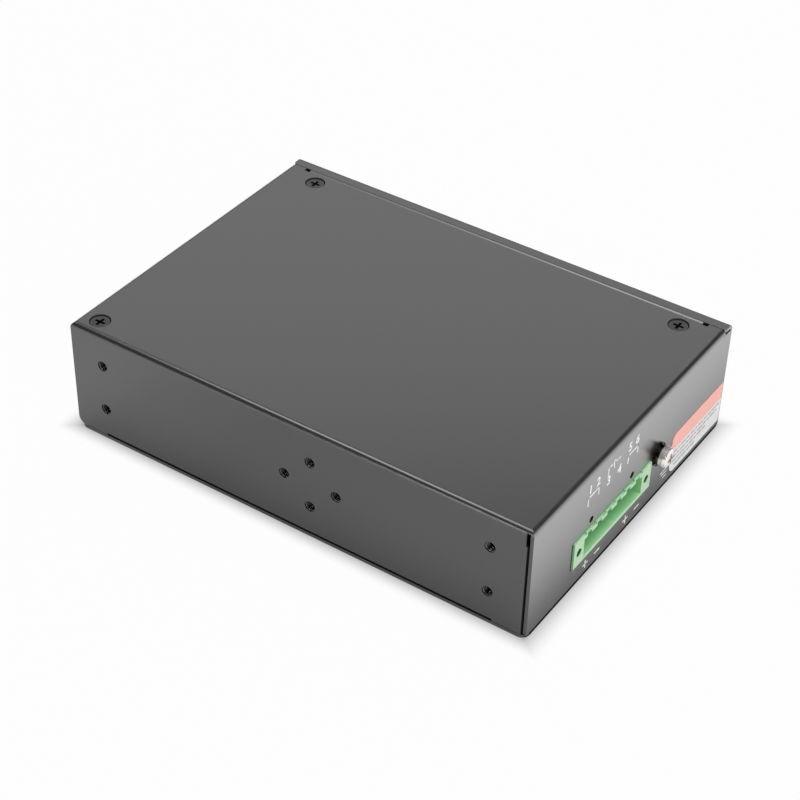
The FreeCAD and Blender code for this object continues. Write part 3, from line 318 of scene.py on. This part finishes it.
# The label is printed film, stuck on the end beside the earth screw, with a coral band
# along its head and a white field below.
label_film = coating("label film", (0.70, 0.70, 0.69), (0.76, 0.75, 0.74),
                     grain=0.6, relief=0.002, dull=0.42, glossy=0.34)
coral = (0.88, 0.43, 0.37)
band_foot = 10.9
band_full = 11.0
tree = label_film.node_tree
height = object_axes(tree)[2]
tint(label_film, coral, ramp(tree, height, band_foot * mm, band_full * mm))
dress("side_label", label_film)


# The label's field is screen printed with four rows of plain grey bars. Each bar is a
# film of ink a few hundredths of a millimetre thick, drawn as a flat stroke.
ink_thickness = 0.04
ink_edge = 0.015
end_turn = Matrix(((0, 0, 1, 0), (1, 0, 0, 0), (0, 1, 0, 0), (0, 0, 0, 1)))


def ink(name, colour):
    """A matt ink that is a little uneven in tone."""
    thin = tuple(0.9 * part for part in colour)
    return coating(name, thin, colour, grain=0.5, relief=0.002, dull=0.5, glossy=0.42)


def lay(piece, spot, turn, lean=0.0):
    """Lays a flat drawn piece on a face, at a spot in millimetres, and applies its place."""
    place = Matrix.Translation([part * mm for part in spot])
    piece.matrix_world = place @ turn @ Matrix.Rotation(lean, 4, "Z")
    bpy.ops.object.transform_apply(location=True, rotation=True, scale=True)


def stroke(start, end, width, level):
    """A thin flat bar of ink between two points of the end; level is the X of the printed face."""
    bpy.ops.object.select_all(action="DESELECT")
    bpy.ops.mesh.primitive_cube_add(size=1.0)
    bar = bpy.context.object
    run = Vector((end[0] - start[0], end[1] - start[1]))
    bar.scale = ((run.length + width) * mm, width * mm, ink_thickness * mm)
    bpy.ops.object.transform_apply(location=False, rotation=False, scale=True)
    bpy.ops.object.mode_set(mode="EDIT")
    bpy.ops.mesh.select_all(action="SELECT")
    bpy.ops.mesh.bevel(offset=ink_edge * mm, segments=1)
    bpy.ops.object.mode_set(mode="OBJECT")
    middle = (level, (start[0] + end[0]) / 2, (start[1] + end[1]) / 2)
    lay(bar, middle, end_turn, math.atan2(run.y, run.x))
    return bar


grey_ink = ink("grey ink", (0.42, 0.43, 0.44))
label_front = 74.13
bar_height = 0.75
bar_gap = 0.4
shortest_bar = 1.0
bar_lengths = (2.2, 1.4, 2.9, 1.8, 2.5, 1.2, 3.1, 2.0, 1.6, 2.7, 2.3, 1.5)
bar_rows = [(23.6, 50.8, 9.8), (23.2, 49.6, 8.2), (23.2, 43.0, 6.6), (24.4, 37.0, 5.0)]
bars = []
for row_start, row_end, z in bar_rows:
    here = row_start
    for length in bar_lengths:
        stop = min(here + length, row_end)
        if stop - here > shortest_bar:
            bars.append(stroke((here + bar_gap, z), (stop - bar_gap, z), bar_height, label_front))
        here = stop + bar_gap
label_bars = join(bars, "label_bars", grey_ink)
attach(label_bars, "root")


# Signs printed white on the end flange: a bracket over each supply, a contact sign over
# the alarm poles, plus and minus signs, pole numbers and the earth sign by its screw.
white_ink = ink("white ink", (0.82, 0.82, 0.80))
flange = 74.0
line = 0.45
fine_line = 0.3
bracket_top = 28.1
numeral_size = 3.9
numeral_weight = 0.11
numeral_half_thickness = 0.015
sign_half = 1.2
sign_height = 4.3
minus_offset = 6.2
pole_numbers = (("1", -25.0, 30.4), ("2", -21.0, 30.4), ("3", -15.2, 26.7), ("4", -9.6, 26.7),
                ("5", -4.4, 30.6), ("6", -0.6, 30.6))
end_marks = []


def numeral(text, size, spot, turn):
    """A printed number, made a mesh before it is put in place."""
    bpy.ops.object.select_all(action="DESELECT")
    bpy.ops.object.text_add()
    lettering = bpy.context.object
    lettering.data.body = text
    lettering.data.size = size * mm
    lettering.data.extrude = numeral_half_thickness * mm
    lettering.data.offset = numeral_weight * mm
    lettering.data.align_x = "CENTER"
    lettering.data.align_y = "CENTER"
    lettering.data.resolution_u = 3
    bpy.ops.object.convert(target="MESH")
    printed = bpy.context.object
    bpy.ops.object.mode_set(mode="EDIT")
    bpy.ops.mesh.select_all(action="SELECT")
    bpy.ops.mesh.remove_doubles(threshold=1e-6)
    bpy.ops.object.mode_set(mode="OBJECT")
    lay(printed, spot, turn)
    return printed


def draw(points, width=line):
    """Prints an open line through points of the end flange."""
    for start, end in zip(points, points[1:]):
        end_marks.append(stroke(start, end, width, flange))


for left, right in ((-25.7, -20.3), (-5.0, 0.1)):
    draw([(left, 25.5), (left, bracket_top), (right, bracket_top), (right, 25.9)])
draw([(-15.8, 28.8), (-15.8, 31.4), (-14.0, 31.2)])
draw([(-12.7, 29.5), (-13.2, 32.1), (-11.0, 30.8), (-9.8, 31.0)])
for text, y, z in pole_numbers:
    end_marks.append(numeral(text, numeral_size, (flange, y, z), end_turn))
for y in (-23.9, -2.6):
    draw([(y - sign_half, sign_height), (y + sign_half, sign_height)])
    draw([(y, sign_height - sign_half), (y, sign_height + sign_half)])
    minus = y + minus_offset
    draw([(minus - sign_half, sign_height), (minus + sign_half, sign_height)])
for start, end, z in ((16.7, 20.3, 6.6), (17.5, 20.7, 5.5), (18.6, 20.6, 4.2)):
    draw([(start, z), (end, z)], fine_line)
end_print = join(end_marks, "end_print", white_ink)
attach(end_print, "root")


# The ports are one stacked block: a black moulded insulator with gold plated wires in
# every port, inside a folded shield of bright plated sheet.
black_nylon = coating("black nylon", (0.016, 0.016, 0.017), (0.024, 0.024, 0.025),
                      grain=0.4, relief=0.005, dull=0.55, glossy=0.45)
gold_plate = coating("gold plate", (0.80, 0.55, 0.20), (0.88, 0.64, 0.27),
                     grain=0.4, relief=0.002, dull=0.28, glossy=0.18, metallic=1.0)
dress("port_housing", black_nylon)
dress("port_shield", bright_zinc)
dress("port_contacts", gold_plate)


# Two cages pressed from bright plated sheet take plug-in optical modules. A black edge
# connector sits at the back of each.
dress("sfp_cage_1", bright_zinc)
dress("sfp_cage_2", bright_zinc)
dress("sfp_connectors", black_nylon)


# Four lamps of clear green plastic stand in a black holder behind the port panel, and two
# small lenses of the same plastic show at every port.
lens = coating("tinted lens", (0.16, 0.42, 0.14), (0.20, 0.50, 0.18),
               grain=0.8, relief=0.002, dull=0.14, glossy=0.08)
lens.node_tree.nodes["Principled BSDF"].inputs["Transmission Weight"].default_value = 0.35
dress("status_leds", lens)
dress("link_lamps", lens)
dress("led_holder", black_nylon)


# Plain numbers are printed white on the port panel: a pair under each column of two ports,
# and one over each module bay.
panel = 53.0
panel_numeral_size = 2.6
panel_turn = Matrix(((-1, 0, 0, 0), (0, 0, 1, 0), (0, 1, 0, 0), (0, 0, 0, 1)))
port_numbers = (("1  2", 34.755, 4.9), ("3  4", 20.785, 4.9), ("5  6", 6.815, 4.9), ("7  8", -7.155, 4.9))
bay_numbers = (("9", -29.5, 20.4), ("10", -46.5, 20.4))
panel_marks = []
for text, x, z in port_numbers + bay_numbers:
    panel_marks.append(numeral(text, panel_numeral_size, (x, panel, z), panel_turn))
panel_print = join(panel_marks, "panel_print", white_ink)
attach(panel_print, "root")


# The circuit board is green glass laminate on plated standoffs, held by plated screws.
# Plain moulded parts, cans and a finned heat sink stand on it, out of sight.
laminate = coating("solder mask", (0.010, 0.09, 0.035), (0.016, 0.13, 0.05),
                   grain=0.6, relief=0.006, dull=0.42, glossy=0.3)
chip_epoxy = coating("chip epoxy", (0.020, 0.020, 0.021), (0.032, 0.032, 0.033),
                     grain=0.2, relief=0.006, dull=0.7, glossy=0.55)
heat_pad = coating("heat pad", (0.22, 0.24, 0.27), (0.28, 0.30, 0.33),
                   grain=0.3, relief=0.006, dull=0.85, glossy=0.7)
extrusion = coating("anodised extrusion", (0.42, 0.42, 0.44), (0.52, 0.52, 0.54),
                    grain=0.4, relief=0.006, dull=0.42, glossy=0.3, metallic=1.0)
relay_plastic = coating("relay plastic", (0.72, 0.30, 0.05), (0.80, 0.36, 0.07),
                        grain=0.6, relief=0.003, dull=0.4, glossy=0.3)
glazed = coating("glazed ceramic", (0.74, 0.71, 0.66), (0.82, 0.79, 0.74),
                 grain=0.8, relief=0.003, dull=0.3, glossy=0.2)
blue_epoxy = coating("blue epoxy", (0.02, 0.07, 0.28), (0.03, 0.09, 0.34),
                     grain=0.7, relief=0.008, dull=0.4, glossy=0.25)
wound_copper = coating("wound copper", (0.28, 0.10, 0.04), (0.42, 0.17, 0.08),
                       grain=0.25, relief=0.05, dull=0.45, glossy=0.3, metallic=0.6)
ferrite = coating("ferrite", (0.045, 0.043, 0.043), (0.07, 0.067, 0.067),
                  grain=0.3, relief=0.01, dull=0.7, glossy=0.55)
dress("circuit_board", laminate)
for node in ("board_standoffs", "board_screws", "clock_crystal"):
    dress(node, bright_zinc)
for node in ("switch_chip", "flash_chip", "power_controller", "port_transformers"):
    dress(node, chip_epoxy)
for node in ("heat_sink", "bulk_capacitors"):
    dress(node, extrusion)
dress("thermal_pad", heat_pad)
dress("alarm_relay", relay_plastic)
dress("input_fuse", glazed)
dress("surge_absorbers", blue_epoxy)
dress("common_mode_choke", wound_copper)
dress("power_inductors", ferrite)


# The switch lies on a broad table. Close to the case the table's own grey and the shadows
# show, and further out it is white to the camera. In reflections it grows pale far off, at
# once beyond the header's end and a little beyond the plain end.
table_width = 8.0
table_gap = 0.05
whitest = 0.98


def smooth(tree, value, start, end, low=0.0, high=1.0):
    """The same map as ramp, eased at both ends."""
    return ramp(tree, value, start, end, low, high, "SMOOTHSTEP")


def ray_kinds(tree):
    """Two shares: 1 for the camera's own rays, and 1 for rays that leave a shiny or clear surface."""
    kinds = tree.nodes.new("ShaderNodeLightPath")
    mirrored = combine(tree, "MAXIMUM", kinds.outputs["Is Glossy Ray"], kinds.outputs["Is Transmission Ray"])
    return kinds.outputs["Is Camera Ray"], mirrored


bpy.ops.object.select_all(action="DESELECT")
bpy.ops.mesh.primitive_plane_add(size=table_width, location=(0, 0, -table_gap * mm))
table = bpy.context.object
table.name = "table"
bpy.ops.object.transform_apply(location=True, rotation=True, scale=True)
table_finish = bpy.data.materials.new("white table")
table_finish.use_nodes = True
tree = table_finish.node_tree
surface = tree.nodes["Principled BSDF"]
surface.inputs["Base Color"].default_value = (0.27, 0.27, 0.27, 1.0)
surface.inputs["Roughness"].default_value = 0.9
surface.inputs["Specular IOR Level"].default_value = 0.0
glow = tree.nodes.new("ShaderNodeEmission")
glow.inputs["Color"].default_value = (1.0, 1.0, 1.0, 1.0)
glow.inputs["Strength"].default_value = 1.0
x, y, z = object_axes(tree)
past_x = combine(tree, "SUBTRACT", combine(tree, "ABSOLUTE", x, 0.0), cad_high[0])
past_y = combine(tree, "SUBTRACT", combine(tree, "ABSOLUTE", y, 0.0), cad_high[1])
past_header_end = combine(tree, "SUBTRACT", x, cad_high[0])
past_plain_end = combine(tree, "SUBTRACT", cad_low[0], x)
white_x = smooth(tree, past_x, -9.3 * mm, 2.7 * mm, 0.0, whitest)
white_y = smooth(tree, past_y, -5.1 * mm, 4.3 * mm, 0.0, whitest)
white_to_camera = combine(tree, "MAXIMUM", white_x, white_y)
pale_header_end = smooth(tree, past_header_end, -4.0 * mm, 17.0 * mm)
pale_plain_end = ramp(tree, past_plain_end, -45.0 * mm, 10.0 * mm, 0.0, 0.12)
pale_far_off = smooth(tree, combine(tree, "MAXIMUM", past_x, past_y), 120.0 * mm, 900.0 * mm, 0.0, 0.7)
pale_ends = combine(tree, "MAXIMUM", pale_header_end, pale_plain_end)
pale_in_mirrors = combine(tree, "MAXIMUM", pale_ends, pale_far_off)
camera_ray, mirrored = ray_kinds(tree)
share = combine(tree, "ADD", combine(tree, "MULTIPLY", camera_ray, white_to_camera),
                combine(tree, "MULTIPLY", mirrored, pale_in_mirrors))
blend = tree.nodes.new("ShaderNodeMixShader")
tree.links.new(share, blend.inputs["Fac"])
tree.links.new(surface.outputs["BSDF"], blend.inputs[1])
tree.links.new(glow.outputs["Emission"], blend.inputs[2])
tree.links.new(blend.outputs["Shader"], tree.nodes["Material Output"].inputs["Surface"])
table.data.materials.append(table_finish)


# The room is white to the camera. In a mirror it is dim, with a pale band at the height of
# the table, a pale middle overhead and a white corner past the header's end, and the bends
# of the case draw dark lines between them.
world = bpy.data.worlds.new("room")
bpy.context.scene.world = world
world.use_nodes = True
tree = world.node_tree
room = tree.nodes["Background"]
room.inputs["Color"].default_value = (1.0, 1.0, 1.0, 1.0)
direction = tree.nodes.new("ShaderNodeTexCoord")
heading = tree.nodes.new("ShaderNodeSeparateXYZ")
tree.links.new(direction.outputs["Generated"], heading.inputs["Vector"])
toward_corner = combine(tree, "ADD", heading.outputs["X"], heading.outputs["Y"])
band = smooth(tree, heading.outputs["Z"], 0.0, 0.09, 0.7, 0.0)
overhead = smooth(tree, heading.outputs["Z"], 0.72, 0.96, 0.0, 0.42)
corner = smooth(tree, toward_corner, 1.19, 1.48)
pale = combine(tree, "MAXIMUM", combine(tree, "MAXIMUM", band, overhead), corner)
camera_ray, mirrored = ray_kinds(tree)
lit = combine(tree, "MAXIMUM", camera_ray, combine(tree, "MULTIPLY", mirrored, pale))
unlit = ramp(tree, mirrored, 0.0, 1.0, 0.22, 0.04)
tree.links.new(combine(tree, "MAXIMUM", lit, unlit), room.inputs["Strength"])


# Soft lamps light the switch from above, from the header's side and from behind. The large
# ones stay out of reflections, apart from a screen behind the case that gives the cover its
# sheen, and small ones draw fine lines on the front bend and glints on the end.
def lamp(name, place, target, wide, high, power, mirrored=True):
    """A rectangular lamp that faces a point; mirrored is False for one kept out of reflections."""
    data = bpy.data.lights.new(name, "AREA")
    data.shape = "RECTANGLE"
    data.size = wide
    data.size_y = high
    data.energy = power
    light = bpy.data.objects.new(name, data)
    bpy.context.scene.collection.objects.link(light)
    light.location = place
    light.rotation_mode = "QUATERNION"
    light.rotation_quaternion = (Vector(target) - Vector(place)).to_track_quat("-Z", "Y")
    light.visible_glossy = mirrored


lamp("overhead", (0.22, 0.12, 1.42), (0, 0, 0), wide=1.0, high=1.0, power=14.0, mirrored=False)
lamp("screen", (-0.72, 1.0, 0.78), (0, 0, 0.03), wide=1.4, high=0.64, power=1.19)
lamp("fill", (1.0, -0.4, 0.5), (0.07, 0, 0.02), wide=0.6, high=0.6, power=10.5, mirrored=False)
lamp("rear_fill", (-0.15, 1.15, 0.75), (0, 0.05, 0.02), wide=0.7, high=0.7, power=7.0, mirrored=False)
lamp("side_glint", (0.80, -0.45, 0.42), (0.075, 0.013, 0.016), wide=0.14, high=0.14, power=0.75)
lamp("upper_glint", (-0.38, -0.06, 0.92), (0.04, 0, 0.03), wide=0.3, high=0.3, power=0.42)
lamp("lower_glint", (-0.25, -0.84, 0.27), (0.04, 0, 0.03), wide=0.14, high=0.09, power=0.18)


# The camera stands above the corner between the long face and the header's end, where the
# photograph was taken from, and its lens is set for a picture 800 pixels across.
azimuth = math.radians(33.22)
elevation = math.radians(38.36)
roll = math.radians(1.57)
distance = 567.0
shift_left = 0.222
shift_up = 7.076
focal_pixels = 1987.5
picture_pixels = 800
sensor = 36.0
back = Vector((math.sin(azimuth) * math.cos(elevation), -math.cos(azimuth) * math.cos(elevation),
               math.sin(elevation)))
right = Vector((0, 0, 1)).cross(back).normalized()
up = back.cross(right)
tilted_right = math.cos(roll) * right + math.sin(roll) * up
tilted_up = -math.sin(roll) * right + math.cos(roll) * up
view = bpy.data.cameras.new("view")
view.sensor_width = sensor
view.sensor_fit = "AUTO"
view.lens = focal_pixels / picture_pixels * sensor
view.clip_start = 0.01
view.clip_end = 20.0
camera = bpy.data.objects.new("view", view)
bpy.context.scene.collection.objects.link(camera)
stand = back * distance * mm - tilted_right * shift_left * mm + tilted_up * shift_up * mm
camera.matrix_world = Matrix((
    (tilted_right.x, tilted_up.x, back.x, stand.x),
    (tilted_right.y, tilted_up.y, back.y, stand.y),
    (tilted_right.z, tilted_up.z, back.z, stand.z),
    (0, 0, 0, 1)))
bpy.context.scene.camera = camera
bpy.context.scene.view_settings.view_transform = "Standard"
